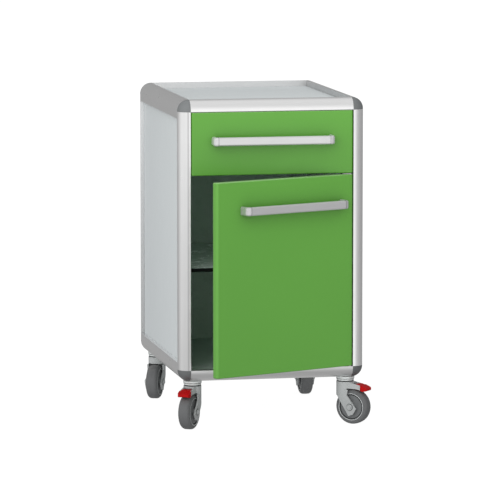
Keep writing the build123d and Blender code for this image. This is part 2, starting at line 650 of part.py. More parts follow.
with BuildPart() as caster_kingpins:
    # rivet head under the fork's top, shank and thread: start height, radius, length
    for swivel in SWIVELS.values():
        for z, radius, length in ((RIVET_TOP - RIVET_T, RIVET_R, RIVET_T),
                                  (RIVET_TOP, SHANK_R, Z_BASE - RIVET_TOP),
                                  (Z_BASE, THREAD_R, THREAD_L)):
            with BuildSketch(Plane.XY.offset(z)):
                with Locations(swivel):
                    Circle(radius)
            extrude(amount=length)
save(caster_kingpins, "caster_kingpins")

# ---------------------------------------------------------------- casters: moving pieces
# trailing direction in degrees from +X, counted clockwise seen from above
TRAIL_DEG = {"front_left": 121.3, "front_right": 39.3, "rear_left": 114.3, "rear_right": 91.0}
TRAIL = 20.0             # axle behind the swivel axis
WHEEL_R, WHEEL_W = 37.5, 27.0
AXLE_Z = WHEEL_R
AXLE_R = 4.0
FORK_GAP = 15.6          # half the space between the fork's cheeks
HEAD_LOW = 74.4          # lower edge of the fork head behind the swivel axis
HOLLOW_TOP = 76.6        # top of the space between the cheeks
HEAD_HOLLOW_Z = 70.0     # start of the round hollow in the head
HOOD_R, HOOD_GAP = 13.2, 10.4         # half widths of the hood, outside and inside
HOOD_END = 41.3          # end of the hood, from the swivel axis
PEDAL_PIN = (25.6, 79.8)              # brake pedal pin, from the swivel axis and the floor
PEDAL_PIN_R = 2.0

# Side outlines: distance behind the swivel axis, height above the floor.
CHEEK_OUTLINE = [   # head and the slanting cheek down to the axle
    (-20, FORK_TOP), (20, FORK_TOP), (20, HEAD_LOW), (15.2, HEAD_LOW), (12.5, 63.4),
    (34.9, 34.2), (27.2, 22.0), (17.2, 18.4), (-1.2, 46.7), (-7.6, 55.4), (-12.0, 61.0),
    (-20, 61.0)]
HOOD_OUTLINE = [
    (8, HOLLOW_TOP), (HOOD_END - 9.0, 76.4), (HOOD_END, 74.4), (HOOD_END, 84.4),
    (17.6, FORK_TOP - 1.4), (8, FORK_TOP - 0.2)]
HOOD_HOLLOW = [     # open above, behind x = 20.6
    (12, 70), (60, 70), (60, 100), (20.6, 100), (20.6, FORK_TOP - FORK_TOP_T),
    (12, FORK_TOP - FORK_TOP_T)]
PEDAL_OUTLINE = [
    (21.8, 78.6), (22.0, 82.6), (25.0, 85.4), (31.0, 86.9), (37.0, 86.5), (45.0, 83.8),
    (55.0, 79.6), (57.0, 77.9), (56.8, 74.4), (54.6, 72.8), (47.0, 71.8), (43.0, 73.4),
    (34.0, 76.2), (23.4, 77.2)]
# Half of the pedal's plan: distance behind the swivel axis, half width.
PEDAL_PLAN = [(18, 10.0), (HOOD_END + 1.2, 10.0), (HOOD_END + 1.2, 13.4), (52.0, 13.4),
              (56.2, 11.6), (57.4, 9.4)]

RIM_R = 29.0             # outside of the hub, bore of the tyre
HALF_WHEEL = WHEEL_W / 2
# Half of the hub's profile: distance along the axle from the wheel's middle, radius.
HUB_PROFILE = [
    (15.2, AXLE_R + RUN), (15.2, 8.6), (11.6, 10.0), (11.6, 24.8), (8.4, 25.4), (8.4, 27.0),
    (HALF_WHEEL - 1.6, 27.6), (HALF_WHEEL - 1.6, RIM_R)]
SHOULDER = 7.8           # radius of the tyre's shoulders

# Each function below takes the caster's plan plane: origin on the floor under the swivel
# axis, x in the trailing direction, y along the axle.


def side_plane(plan):
    """Upright plane through the wheel's middle: x trailing, y up."""
    return Plane(origin=plan.origin, x_dir=plan.x_dir, z_dir=-plan.y_dir)


def axle_plane(plan, offset):
    """Plane across the axle line, offset along it from the wheel's middle."""
    return Plane(origin=plan.from_local_coords((TRAIL, offset, AXLE_Z)),
                 x_dir=plan.x_dir, z_dir=plan.y_dir)


def wheel_frame(plan):
    """Profile plane (x along the axle, y up) and the axis it is turned about."""
    centre = plan.from_local_coords((TRAIL, 0, AXLE_Z))
    return Plane(origin=centre, x_dir=plan.y_dir, z_dir=plan.x_dir), Axis(centre, plan.y_dir)


def fork(name, plan, braked):
    side = side_plane(plan)
    with BuildPart() as body:
        with BuildSketch(side):
            with BuildLine():
                Polyline(*CHEEK_OUTLINE, close=True)
            make_face()
        extrude(amount=HEAD_R, both=True)
        # round nose in front and straight cheeks behind, then the hollow between the
        # cheeks, closed on top: half width, length, height, mode
        for radius, length, height, mode in ((HEAD_R, 50, 120, Mode.INTERSECT),
                                             (FORK_GAP, 60, HOLLOW_TOP, Mode.SUBTRACT)):
            with BuildSketch(plan):
                with BuildLine():
                    Polyline((0, radius), (length, radius), (length, -radius), (0, -radius))
                    ThreePointArc((0, -radius), (-radius, 0), (0, radius))
                make_face()
            extrude(amount=height, mode=mode)
        # the head itself is round
        with BuildSketch(plan.offset(HEAD_LOW)):
            with Locations((30, 0)):
                Rectangle(60, 60)
            Circle(HEAD_R, mode=Mode.SUBTRACT)
        extrude(amount=30, mode=Mode.SUBTRACT)
        if braked:
            # narrow hood that carries the brake pedal between its walls
            with BuildSketch(side):
                with BuildLine():
                    Polyline(*HOOD_OUTLINE, close=True)
                make_face()
            extrude(amount=HOOD_R, both=True)
            with BuildSketch(side):
                with BuildLine():
                    Polyline(*HOOD_HOLLOW, close=True)
                make_face()
            extrude(amount=HOOD_GAP, both=True, mode=Mode.SUBTRACT)
        with BuildSketch(plan.offset(HEAD_HOLLOW_Z)):
            Circle(FORK_GAP)
        extrude(amount=FORK_TOP - FORK_TOP_T - HEAD_HOLLOW_Z, mode=Mode.SUBTRACT)
        # king pin hole
        with BuildSketch(plan.offset(FORK_TOP - 6.0)):
            Circle(SHANK_R + RUN)
        extrude(amount=8.0, mode=Mode.SUBTRACT)
        with BuildSketch(axle_plane(plan, -30)):
            Circle(AXLE_R)
        extrude(amount=60, mode=Mode.SUBTRACT)
        if braked:
            with BuildSketch(side):
                with Locations(PEDAL_PIN):
                    Circle(PEDAL_PIN_R)
            extrude(amount=HOOD_R - 1.0, both=True, mode=Mode.SUBTRACT)
    save(body, "fork_" + name)


def axle(name, plan):
    head_t = 1.8         # each of the two steps of a head
    with BuildPart() as rod:
        with BuildSketch(axle_plane(plan, -HEAD_R)):
            Circle(AXLE_R)
        extrude(amount=2 * HEAD_R)
        for s in (-1, 1):
            with BuildSketch(axle_plane(plan, s * HEAD_R)):
                Circle(6.5)
            extrude(amount=s * head_t)
            with BuildSketch(axle_plane(plan, s * (HEAD_R + head_t))):
                Circle(4.8)
            extrude(amount=s * head_t, taper=20)
    save(rod, "axle_" + name)


def hub(name, plan):
    profile_plane, spin = wheel_frame(plan)
    with BuildPart() as body:
        with BuildSketch(profile_plane):
            with BuildLine():
                Polyline(*HUB_PROFILE, *[(-x, y) for x, y in reversed(HUB_PROFILE)], close=True)
            make_face()
        revolve(axis=spin)
    save(body, "hub_" + name)


def tyre(name, plan):
    profile_plane, spin = wheel_frame(plan)
    tread = HALF_WHEEL - SHOULDER     # half width of the flat tread
    low = WHEEL_R - SHOULDER
    mid = SHOULDER * ARC_MID
    bead = HALF_WHEEL - 0.6
    with BuildPart() as body:
        with BuildSketch(profile_plane):
            with BuildLine():
                Line((-tread, WHEEL_R), (tread, WHEEL_R))
                ThreePointArc((tread, WHEEL_R), (HALF_WHEEL - mid, WHEEL_R - mid),
                              (HALF_WHEEL, low))
                Polyline((HALF_WHEEL, low), (bead, RIM_R), (-bead, RIM_R), (-HALF_WHEEL, low))
                ThreePointArc((-HALF_WHEEL, low), (-HALF_WHEEL + mid, WHEEL_R - mid),
                              (-tread, WHEEL_R))
            make_face()
        revolve(axis=spin)
    save(body, "tyre_" + name)


def brake_pedal(name, plan):
    """Wedge-shaped tread between the hood's walls, on a cross pin."""
    side = side_plane(plan)
    with BuildPart() as pedal:
        with BuildSketch(side):
            with BuildLine():
                Polyline(*PEDAL_OUTLINE, close=True)
            make_face()
        extrude(amount=20, both=True)
        with BuildSketch(plan):
            with BuildLine():
                Polyline(*PEDAL_PLAN, *[(x, -y) for x, y in reversed(PEDAL_PLAN)], close=True)
            make_face()
        extrude(amount=120, mode=Mode.INTERSECT)
        with BuildSketch(side):
            with Locations(PEDAL_PIN):
                Circle(PEDAL_PIN_R - RUN)
        extrude(amount=HOOD_R - 1.2, both=True)
    save(pedal, "brake_pedal_" + name)


for corner, (x, y) in SWIVELS.items():
    trail = radians(TRAIL_DEG[corner])
    plan = Plane(origin=(x, y, 0), x_dir=(cos(trail), -sin(trail), 0), z_dir=(0, 0, 1))
    braked = corner.startswith("front")
    fork(corner, plan, braked)
    axle(corner, plan)
    hub(corner, plan)
    tyre(corner, plan)
    if braked:
        brake_pedal(corner, plan)
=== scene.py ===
# Cabinet on four swivel casters: an aluminium frame with grey panels, a green drawer above
# a green door, and an open interior with a shelf. Metres, +Z up, the front towards -Y and
# +X to the right seen from the front. The CAD pieces get their finish here; wheels, handle
# seams and shelf edge are built. Piece sizes are in mm, times MM; everything else is in metres.
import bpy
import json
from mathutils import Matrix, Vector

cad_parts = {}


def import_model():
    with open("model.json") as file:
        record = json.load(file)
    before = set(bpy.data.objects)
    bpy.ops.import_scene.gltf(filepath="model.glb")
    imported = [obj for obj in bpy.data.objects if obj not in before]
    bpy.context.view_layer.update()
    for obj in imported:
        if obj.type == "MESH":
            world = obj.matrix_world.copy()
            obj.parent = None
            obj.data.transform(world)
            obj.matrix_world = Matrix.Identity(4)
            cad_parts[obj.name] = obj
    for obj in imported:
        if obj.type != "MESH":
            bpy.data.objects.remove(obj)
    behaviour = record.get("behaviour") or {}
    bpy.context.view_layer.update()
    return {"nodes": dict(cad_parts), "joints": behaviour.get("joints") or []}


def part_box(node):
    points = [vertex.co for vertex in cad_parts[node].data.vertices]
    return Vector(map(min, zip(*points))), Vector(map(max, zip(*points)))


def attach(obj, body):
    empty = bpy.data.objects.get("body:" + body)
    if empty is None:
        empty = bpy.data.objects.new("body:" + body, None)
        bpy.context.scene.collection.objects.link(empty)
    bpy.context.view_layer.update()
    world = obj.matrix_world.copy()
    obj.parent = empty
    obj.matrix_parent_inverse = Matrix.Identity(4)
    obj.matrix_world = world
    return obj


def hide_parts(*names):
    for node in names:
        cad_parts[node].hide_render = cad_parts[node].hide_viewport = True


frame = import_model()

import json
from math import cos, sin, radians, pi

import bmesh
import bpy
from mathutils import Vector

SCENE = bpy.context.scene
MM = 0.001
X, Y, Z = 0, 1, 2
UP = Vector((0, 0, 1))
SHARP_ANGLE = radians(32)   # edges over this stay sharp and get a broken edge
BLACK = (0.0, 0.0, 0.0, 1.0)
WHITE = (1, 1, 1, 1)


# ---------------------------------------------------------------- colours
def lin(*rgb):
    """sRGB 0-255 to linear, with alpha."""
    parts = [c / 255.0 for c in rgb]
    return (*[c / 12.92 if c <= 0.04045 else ((c + 0.055) / 1.055) ** 2.4 for c in parts], 1.0)


def shade(color, factor):
    return (*[max(0.0, min(1.0, v * factor)) for v in color[:3]], 1.0)


# ---------------------------------------------------------------- node helpers
class Nodes:
    """Adds and links the nodes of one material or world."""

    def __init__(self, owner, output_kind):
        owner.use_nodes = True
        self.tree = owner.node_tree
        self.tree.nodes.clear()
        self.surface = self.add(output_kind).inputs["Surface"]

    def add(self, kind, inputs=None, **settings):
        node = self.tree.nodes.new(kind)
        for key, value in settings.items():
            setattr(node, key, value)
        for key, value in (inputs or {}).items():
            self.put(node.inputs[key], value)
        return node

    def put(self, socket, value):
        """Link a socket, or store a plain value."""
        if isinstance(value, bpy.types.NodeSocket):
            self.tree.links.new(value, socket)
        else:
            socket.default_value = value

    def math(self, operation, a, b=0.0, clamp=False):
        node = self.add("ShaderNodeMath", {0: a, 1: b}, operation=operation, use_clamp=clamp)
        return node.outputs[0]

    def ramp(self, value, start, end, low=0.0, high=1.0, kind="LINEAR"):
        """Map start..end to low..high, clamped."""
        return self.add("ShaderNodeMapRange", {0: value, 1: start, 2: end, 3: low, 4: high},
                        clamp=True, interpolation_type=kind).outputs[0]

    def mix(self, factor, a, b, blend="MIX"):
        return self.add("ShaderNodeMix", {0: factor, 6: a, 7: b},
                        data_type="RGBA", blend_type=blend).outputs[2]

    def darken(self, factor, color):
        return self.mix(factor, color, BLACK)

    def noise(self, vector, scale, detail=3.0, rough=0.5, distortion=0.0):
        return self.add("ShaderNodeTexNoise", {
            "Vector": vector, "Scale": scale, "Detail": detail,
            "Roughness": rough, "Distortion": distortion}).outputs["Fac"]

    def coords(self, stretch=(1, 1, 1)):
        place = self.add("ShaderNodeTexCoord").outputs["Object"]
        return self.add("ShaderNodeMapping", {"Vector": place, "Scale": stretch}).outputs["Vector"]

    def split(self, vector):
        return self.add("ShaderNodeSeparateXYZ", {0: vector}).outputs

    def dot(self, a, b):
        node = self.add("ShaderNodeVectorMath", {0: a, 1: b}, operation="DOT_PRODUCT")
        return node.outputs["Value"]

    def normal(self):
        return self.add("ShaderNodeNewGeometry").outputs["Normal"]

    def mix_shader(self, factor, a, b):
        return self.add("ShaderNodeMixShader", {0: factor, 1: a, 2: b}).outputs[0]


def new_material(name):
    material = bpy.data.materials.new(name)
    return material, Nodes(material, "ShaderNodeOutputMaterial")


# ---------------------------------------------------------------- layers of a finish
def gradient(axis, start, end, low, high):
    """Tone multiplied in along an axis, here used for painted light and shade; low and high
    are grey levels or RGB.
    """
    tones = [(*tone, 1) if isinstance(tone, tuple) else (tone, tone, tone, 1)
             for tone in (low, high)]
    return axis, start, end, *tones


def painted_shade(t, color, plain, facing, occlusion, fade, line):
    """Painted shade: darker by direction, next to other surfaces, towards the ground and
    along a line.
    """
    if facing or fade > 0 or line:
        normal = t.split(t.normal())
    # painted shade on faces turned towards a direction
    for axis, sign, depth in facing:
        towards = t.math("MULTIPLY", normal[axis], sign)
        color = t.darken(t.ramp(towards, start=0.6, end=0.95, low=0.0, high=depth), color)
    # painted shade next to other surfaces
    if occlusion > 0:
        near = t.add("ShaderNodeAmbientOcclusion", {"Distance": 0.045}, samples=6)
        open_sky = near.outputs["AO"]
        color = t.darken(t.ramp(open_sky, start=0.35, end=1.0, low=occlusion, high=0.0), color)
    if fade > 0 or line:
        place = t.split(plain)
        front = t.ramp(t.math("MULTIPLY", normal[Y], -1.0), start=0.35, end=1.0)
    # painted floor shade: front faces darker towards the ground
    if fade > 0:
        ground = t.ramp(place[Z], start=0.10, end=0.70, low=fade, high=0.0)
        color = t.darken(t.math("MULTIPLY", front, ground), color)
    # painted shade line down the front at an x
    if line:
        half = line["half_width"]
        offset = t.math("ABSOLUTE", t.math("SUBTRACT", place[X], line["x"]))
        core = t.ramp(offset, start=half * 0.4, end=half, low=line["depth"], high=0.0)
        color = t.darken(t.math("MULTIPLY", front, core), color)
    return color


def worn(t, color, rough, plain, amount, radius, worn_color):
    """Rubbed edges, found where a bevelled normal leaves the true one."""
    bevel = t.add("ShaderNodeBevel", {"Radius": radius}, samples=4).outputs[0]
    edge = t.ramp(t.dot(bevel, t.normal()), start=0.995, end=0.86)
    patches = t.ramp(t.noise(plain, scale=90.0, detail=4.0, rough=0.65), start=0.35, end=0.6)
    rubbed = t.math("MULTIPLY", t.math("MULTIPLY", edge, patches), amount, clamp=True)
    color = t.mix(rubbed, color, worn_color)
    return color, t.math("ADD", rough, t.math("MULTIPLY", rubbed, 0.15), clamp=True)


def dusty(t, color, rough, plain, amount):
    """Patchy dust on faces that look up."""
    up = t.ramp(t.split(t.normal())[Z], start=0.5, end=1.0)
    patches = t.ramp(t.noise(plain, scale=55.0, detail=5.0, rough=0.7),
                     start=0.35, end=0.8, low=0.0, high=amount)
    cover = t.math("MULTIPLY", up, patches)
    color = t.mix(cover, color, lin(190, 188, 182))
    return color, t.math("ADD", rough, t.math("MULTIPLY", cover, 0.5), clamp=True)


def make(name, color, *, rough=0.5, rough_var=0.06, metal=0.0, spec=0.5, coat=0.0,
         coat_rough=0.12, drift=0.03, drift_scale=5.0, tint=None, grain=0.02,
         grain_scale=350.0, stretch=(1, 1, 1), bump=0.1, bump_scale=600.0, bump_dist=0.0001,
         gradients=(), in_box=False, facing=(), occlusion=0.0, fade=0.0, line=None,
         top_highlight=None, wear=0.0, wear_color=None, wear_radius=0.0008, dust=0.0,
         aniso=0.0, aniso_axis=None):
    """Procedural finish: a base colour with a slow drift and a fine grain, uneven roughness
    and a fine bump, stretched with the grain. On top, where asked for:
    tint: a second colour in patches; gradients: tones along an axis, here painted light and
    shade, in_box over 0..1 of the piece's box; facing: rows of axis, sign, depth for
    painted shade on faces turned that way; occlusion: painted shade near other surfaces;
    fade: painted floor shade, front faces darker towards the ground; line: a soft
    painted shade line down the front at an x; top_highlight: pale colour mixed in on upward
    faces, a painted highlight;
    wear: rubbed edges; dust: dust on upward faces; aniso: highlight round aniso_axis."""
    material, t = new_material(name)
    plain, stretched = t.coords(), t.coords(stretch)
    slow = t.noise(plain, drift_scale, detail=3.0, rough=0.55)
    fine = t.noise(stretched, grain_scale, detail=4.0, rough=0.6)
    tone = t.mix(t.ramp(slow, start=0.3, end=0.7), shade(color, 1 - drift), shade(color, 1 + drift))
    if tint is not None:
        patches = t.noise(plain, drift_scale * 2.3 + 1.7, detail=2.0, rough=0.5, distortion=0.4)
        tone = t.mix(t.ramp(patches, start=0.42, end=0.75, low=0.0, high=0.5), tone, tint)
    level = t.ramp(fine, start=0.25, end=0.75, low=1 - grain, high=1 + grain)
    grey = t.add("ShaderNodeCombineColor", {0: level, 1: level, 2: level}).outputs[0]
    tone = t.mix(1.0, tone, grey, "MULTIPLY")

    cloud = t.noise(plain, drift_scale * 9.0, detail=4.0, rough=0.6)
    roughness = t.math(
        "ADD",
        t.ramp(cloud, start=0.3, end=0.7, low=rough - rough_var, high=rough + rough_var),
        t.ramp(fine, start=0.3, end=0.7, low=-rough_var * 0.4, high=rough_var * 0.4),
        clamp=True)

    for axis, start, end, low, high in gradients:
        space = t.add("ShaderNodeTexCoord").outputs["Generated"] if in_box else plain
        along = t.ramp(t.split(space)[axis], start, end)
        tone = t.mix(1.0, tone, t.mix(along, low, high), "MULTIPLY")
    tone = painted_shade(t, tone, plain, facing, occlusion, fade, line)
    # painted highlight: a paler colour on upward faces
    if top_highlight is not None:
        up = t.split(t.normal())[Z]
        tone = t.mix(t.ramp(up, start=0.3, end=0.9, low=0.0, high=0.6), tone, top_highlight)
    if wear > 0:
        tone, roughness = worn(t, tone, roughness, plain, wear, wear_radius,
                               wear_color or shade(color, 1.5))
    if dust > 0:
        tone, roughness = dusty(t, tone, roughness, plain, dust)

    relief = t.noise(stretched, bump_scale, detail=3.0, rough=0.55)
    bumped = t.add("ShaderNodeBump", {"Strength": bump, "Distance": bump_dist, "Height": relief})
    surface = t.add("ShaderNodeBsdfPrincipled", {
        "Base Color": tone, "Roughness": roughness, "Metallic": metal,
        "Specular IOR Level": spec, "Coat Weight": coat, "Coat Roughness": coat_rough,
        "Normal": bumped.outputs[0]})
    if aniso:
        tangent = t.add("ShaderNodeTangent", direction_type="RADIAL", axis=aniso_axis)
        t.put(surface.inputs["Anisotropic"], aniso)
        t.put(surface.inputs["Tangent"], tangent.outputs[0])
    t.put(t.surface, surface.outputs[0])
    material.diffuse_color = color
    return material


# ---------------------------------------------------------------- materials
def aluminium(name, along, **extra):
    """Matt anodised extrusion: fine die lines along its length."""
    stretch = tuple(0.02 if axis == along else 1.0 for axis in (X, Y, Z))
    return make("aluminium_anodised_" + name, lin(248, 248, 248), rough=0.32, rough_var=0.04,
                metal=1.0, aniso=0.55, aniso_axis="XYZ"[along], drift=0.012, drift_scale=3.0,
                grain=0.025, grain_scale=900.0, stretch=stretch, bump=0.12, bump_scale=1500.0,
                bump_dist=0.00006, wear=0.35, wear_color=lin(242, 243, 244),
                wear_radius=0.0006, **extra)


def panel(name, color, *gradients):
    return make(name, color, rough=0.45, rough_var=0.05, spec=0.35, drift=0.012,
                drift_scale=4.0, grain=0.012, grain_scale=700.0, bump=0.10, bump_scale=900.0,
                bump_dist=0.00005, dust=0.05, gradients=gradients)


def green(name, color, low, high, occlusion):
    """Lacquered front; painted shade at its foot and near other parts, a painted highlight
    on its top edge.
    """
    return make(name, color, rough=0.36, rough_var=0.05, spec=0.4, coat=0.12, coat_rough=0.22,
                drift=0.018, drift_scale=3.2, grain=0.012, grain_scale=600.0, bump=0.10,
                bump_scale=520.0, bump_dist=0.00008, wear=0.25, wear_color=lin(128, 190, 104),
                wear_radius=0.0006, gradients=(gradient(Z, 0.0, 1.0, low, high),), in_box=True,
                occlusion=occlusion, top_highlight=lin(166, 200, 150))


def handle(name, color, wear_color):
    """Silver bar, its grain drawn out along x."""
    return make(name, color, rough=0.38, rough_var=0.04, metal=0.6, drift=0.012,
                grain_scale=1100.0, stretch=(0.04, 1, 1), bump=0.08, bump_scale=1500.0,
                bump_dist=0.00004, wear=0.3, wear_color=wear_color, wear_radius=0.0006)


# Pale inside panels; their green tint is painted green light bounced from the door.
INTERIOR = lin(206, 222, 214)
MAT = {}
# x rails: painted floor shade, their front faces darker towards the ground.
MAT["alu_x"] = aluminium("x", X, fade=0.32)
MAT["alu_y"] = aluminium("y", Y)
# right top rail: painted shade on its faces turned to -x, towards the inside.
MAT["alu_y_right"] = aluminium("y_right", Y, facing=((X, -1.0, 0.38),))
# rear top rail: painted shade on its upward faces and, less, on faces turned to the front.
MAT["alu_x_rear"] = aluminium("x_rear", X, facing=((Z, 1.0, 0.45), (Y, -1.0, 0.12)))
MAT["alu_z"] = aluminium("z", Z)
# left posts: painted shade, darker towards the ground, more so on front faces, with a painted shade
# line down the front.
MAT["alu_z_left"] = aluminium(
    "z_left", Z, fade=0.22, line=dict(x=-0.1803, half_width=0.0027, depth=0.30),
    gradients=(gradient(Z, start=0.10, end=0.62, low=0.80, high=1.0),))
# corner caps: painted shade, darker at the bottom and towards the right, a painted highlight on the
# left.
MAT["cap"] = make(
    "cap_grey", lin(114, 117, 118), rough=0.42, drift=0.04, grain=0.05, grain_scale=900.0,
    bump=0.25, bump_scale=1400.0, bump_dist=0.00008, wear=0.3, wear_color=lin(140, 143, 144),
    gradients=(gradient(Z, start=0.14, end=0.60, low=0.62, high=1.0),
               gradient(X, start=-0.16, end=0.16, low=1.05, high=0.84)))
# side and back panels: painted shade, a little darker towards the bottom and darker towards the
# back.
MAT["panel"] = panel(
    "panel_grey", lin(222, 228, 229),
    gradient(Z, start=0.12, end=0.68, low=(0.93, 0.93, 0.935), high=1.0),
    gradient(Y, start=-0.22, end=0.20, low=0.94, high=(0.83, 0.83, 0.835)))
# top panel: a shade darker than the side panels, painted shade; painted light makes it paler at the
# front and darker towards the back.
MAT["top"] = panel(
    "top_grey", lin(210, 216, 217),
    gradient(Y, start=-0.10, end=0.22, low=1.05, high=(0.90, 0.90, 0.905)))
MAT["inner"] = make(
    "interior_pale", INTERIOR, rough=0.3, drift=0.015, grain=0.015, bump=0.12,
    bump_scale=500.0, bump_dist=0.00006, dust=0.05)
# bottom panel: painted shade, darker towards the front.
MAT["inner_floor"] = make(
    "interior_floor", INTERIOR, rough=0.35, spec=0.4, drift=0.02, grain=0.015, bump=0.12,
    bump_scale=500.0, bump_dist=0.00006,
    gradients=(gradient(Y, start=-0.22, end=0.10, low=0.62, high=0.95),))
MAT["shelf"] = make(
    "shelf_pale", INTERIOR, rough=0.24, coat=0.2, coat_rough=0.1, drift=0.015, grain=0.015,
    bump=0.1, bump_scale=450.0, bump_dist=0.00006, dust=0.06)
MAT["black"] = make(
    "edge_black", lin(9, 12, 11), rough=0.7, spec=0.1, drift=0.08, grain=0.05, bump=0.2,
    bump_scale=900.0, wear=0.15, wear_color=lin(30, 32, 32))
MAT["green"] = green("front_green", lin(96, 163, 62), low=0.87, high=1.0, occlusion=0.35)
MAT["green_drawer"] = green("front_green_drawer", lin(93, 162, 56), low=0.85, high=1.02,
                            occlusion=0.22)
MAT["handle"] = handle("handle_silver", lin(216, 216, 217), lin(228, 229, 230))
MAT["handle_end"] = make(
    "handle_end", lin(216, 216, 217), rough=0.42, metal=0.5, drift=0.015, grain=0.03,
    grain_scale=1300.0, bump=0.15, bump_scale=1600.0, bump_dist=0.00005, wear=0.3,
    wear_color=lin(228, 229, 230), wear_radius=0.0006)
# The door's bar and ends, a shade darker than the drawer's: painted shade of a door turned from the
# light.
MAT["handle_door"] = handle("handle_silver_door_shaded", lin(202, 202, 203), lin(226, 227, 228))
MAT["zinc"] = make(
    "steel_zinc", lin(176, 178, 182), rough=0.34, metal=0.9, drift=0.05, drift_scale=40,
    grain=0.04, grain_scale=700.0, bump=0.15, bump_scale=1200.0, wear=0.2,
    tint=lin(186, 180, 160))
MAT["tray"] = make(
    "tray_steel", lin(200, 204, 204), drift=0.02, grain=0.04, grain_scale=1500.0, bump=0.3,
    bump_scale=1800.0, bump_dist=0.00006, wear=0.2)
MAT["bush"] = make("bush_white", lin(228, 228, 222))
MAT["magnet"] = make("magnet_brown", lin(92, 66, 46), rough=0.45, bump=0.15)
# forks: painted shade, darker towards the ground.
MAT["fork"] = make(
    "fork_grey", lin(168, 171, 171), rough=0.40, spec=0.4, drift_scale=25, grain=0.035,
    grain_scale=1100.0, bump=0.22, bump_scale=1500.0, bump_dist=0.00007, wear=0.35,
    wear_color=lin(200, 203, 203), dust=0.08,
    gradients=(gradient(Z, start=0.045, end=0.078, low=0.84, high=1.0),))
MAT["plate"] = make(
    "plate_light", lin(206, 210, 209), rough=0.36, metal=0.3, grain=0.03,
    grain_scale=1100.0, bump=0.12, bump_scale=1400.0, wear=0.3)
MAT["seal"] = make("seal_black", lin(34, 36, 38), rough=0.6, bump=0.3, bump_scale=1100.0)
MAT["hub"] = make(
    "hub_grey", lin(94, 96, 97), rough=0.46, drift=0.06, drift_scale=30, grain=0.05,
    grain_scale=1000.0, bump=0.3, bump_scale=1300.0, bump_dist=0.00008, wear=0.35,
    wear_color=lin(112, 116, 118), dust=0.15)
MAT["ring"] = make(
    "wheel_ring_light", lin(206, 209, 209), rough=0.4, metal=0.2, grain=0.03, bump=0.12,
    bump_scale=1400.0, wear=0.3)
MAT["tyre"] = make(
    "tyre_grey", lin(93, 94, 95), rough=0.62, rough_var=0.08, spec=0.35, drift=0.05,
    drift_scale=22, grain=0.05, grain_scale=900.0, bump=0.35, bump_scale=1000.0, wear=0.3,
    wear_color=lin(128, 130, 132), dust=0.25)
MAT["red"] = make(
    "pedal_red", lin(168, 1, 3), rough=0.55, spec=0.15, drift=0.05, drift_scale=30,
    grain=0.04, grain_scale=900.0, bump=0.15, bump_scale=1100.0, wear=0.2,
    wear_color=lin(190, 30, 30))
# Dark grey: the handle seams and axle rings, and painted shade in the rim grooves and under the
# plates' flanges.
MAT["groove"] = make(
    "seam_dark_and_painted_shade", lin(50, 52, 53), rough=0.6, drift=0.08, grain=0.06, grain_scale=900.0,
    bump=0.3, bump_scale=1200.0)


# ---------------------------------------------------------------- finish of the CAD pieces
def smooth_group():
    """Geometry nodes: shade smooth, with every edge over SHARP_ANGLE kept sharp."""
    group = bpy.data.node_groups.new("smooth_by_angle", "GeometryNodeTree")
    for in_out in ("INPUT", "OUTPUT"):
        group.interface.new_socket("Geometry", in_out=in_out, socket_type="NodeSocketGeometry")
    new, link = group.nodes.new, group.links.new
    start, end = new("NodeGroupInput"), new("NodeGroupOutput")
    faces = new("GeometryNodeSetShadeSmooth")
    faces.domain = "FACE"
    faces.inputs["Shade Smooth"].default_value = True
    edges = new("GeometryNodeSetShadeSmooth")
    edges.domain = "EDGE"
    edges.inputs["Shade Smooth"].default_value = False
    angle = new("GeometryNodeInputMeshEdgeAngle")
    sharp = new("FunctionNodeCompare")
    sharp.data_type = "FLOAT"
    sharp.operation = "GREATER_THAN"
    sharp.inputs[1].default_value = SHARP_ANGLE
    link(start.outputs[0], faces.inputs["Geometry"])
    link(faces.outputs[0], edges.inputs["Geometry"])
    link(angle.outputs["Unsigned Angle"], sharp.inputs[0])
    link(sharp.outputs[0], edges.inputs["Selection"])
    link(edges.outputs[0], end.inputs[0])
    return group


SMOOTH = smooth_group()


def shade_smooth(obj):
    mesh = obj.data
    mesh.polygons.foreach_set("use_smooth", [True] * len(mesh.polygons))


def add_smooth_modifier(obj):
    obj.modifiers.new("smooth", "NODES").node_group = SMOOTH


def dress(obj, material, bevel, segments):
    """Material, welded skin, a small broken edge (bevel in mm) and smooth shading."""
    mesh = obj.data
    if "custom_normal" in mesh.attributes:
        mesh.attributes.remove(mesh.attributes["custom_normal"])
    shade_smooth(obj)
    mesh.materials.clear()
    mesh.materials.append(material)
    obj.modifiers.new("weld", "WELD").merge_threshold = 0.000004
    if bevel:
        edge = obj.modifiers.new("broken_edge", "BEVEL")
        edge.width = bevel * MM
        edge.segments = segments
        edge.limit_method = "ANGLE"
        edge.angle_limit = SHARP_ANGLE
        edge.use_clamp_overlap = True
        edge.harden_normals = False
    add_smooth_modifier(obj)
    weighted = obj.modifiers.new("weighted", "WEIGHTED_NORMAL")
    weighted.keep_sharp = True
    weighted.weight = 60


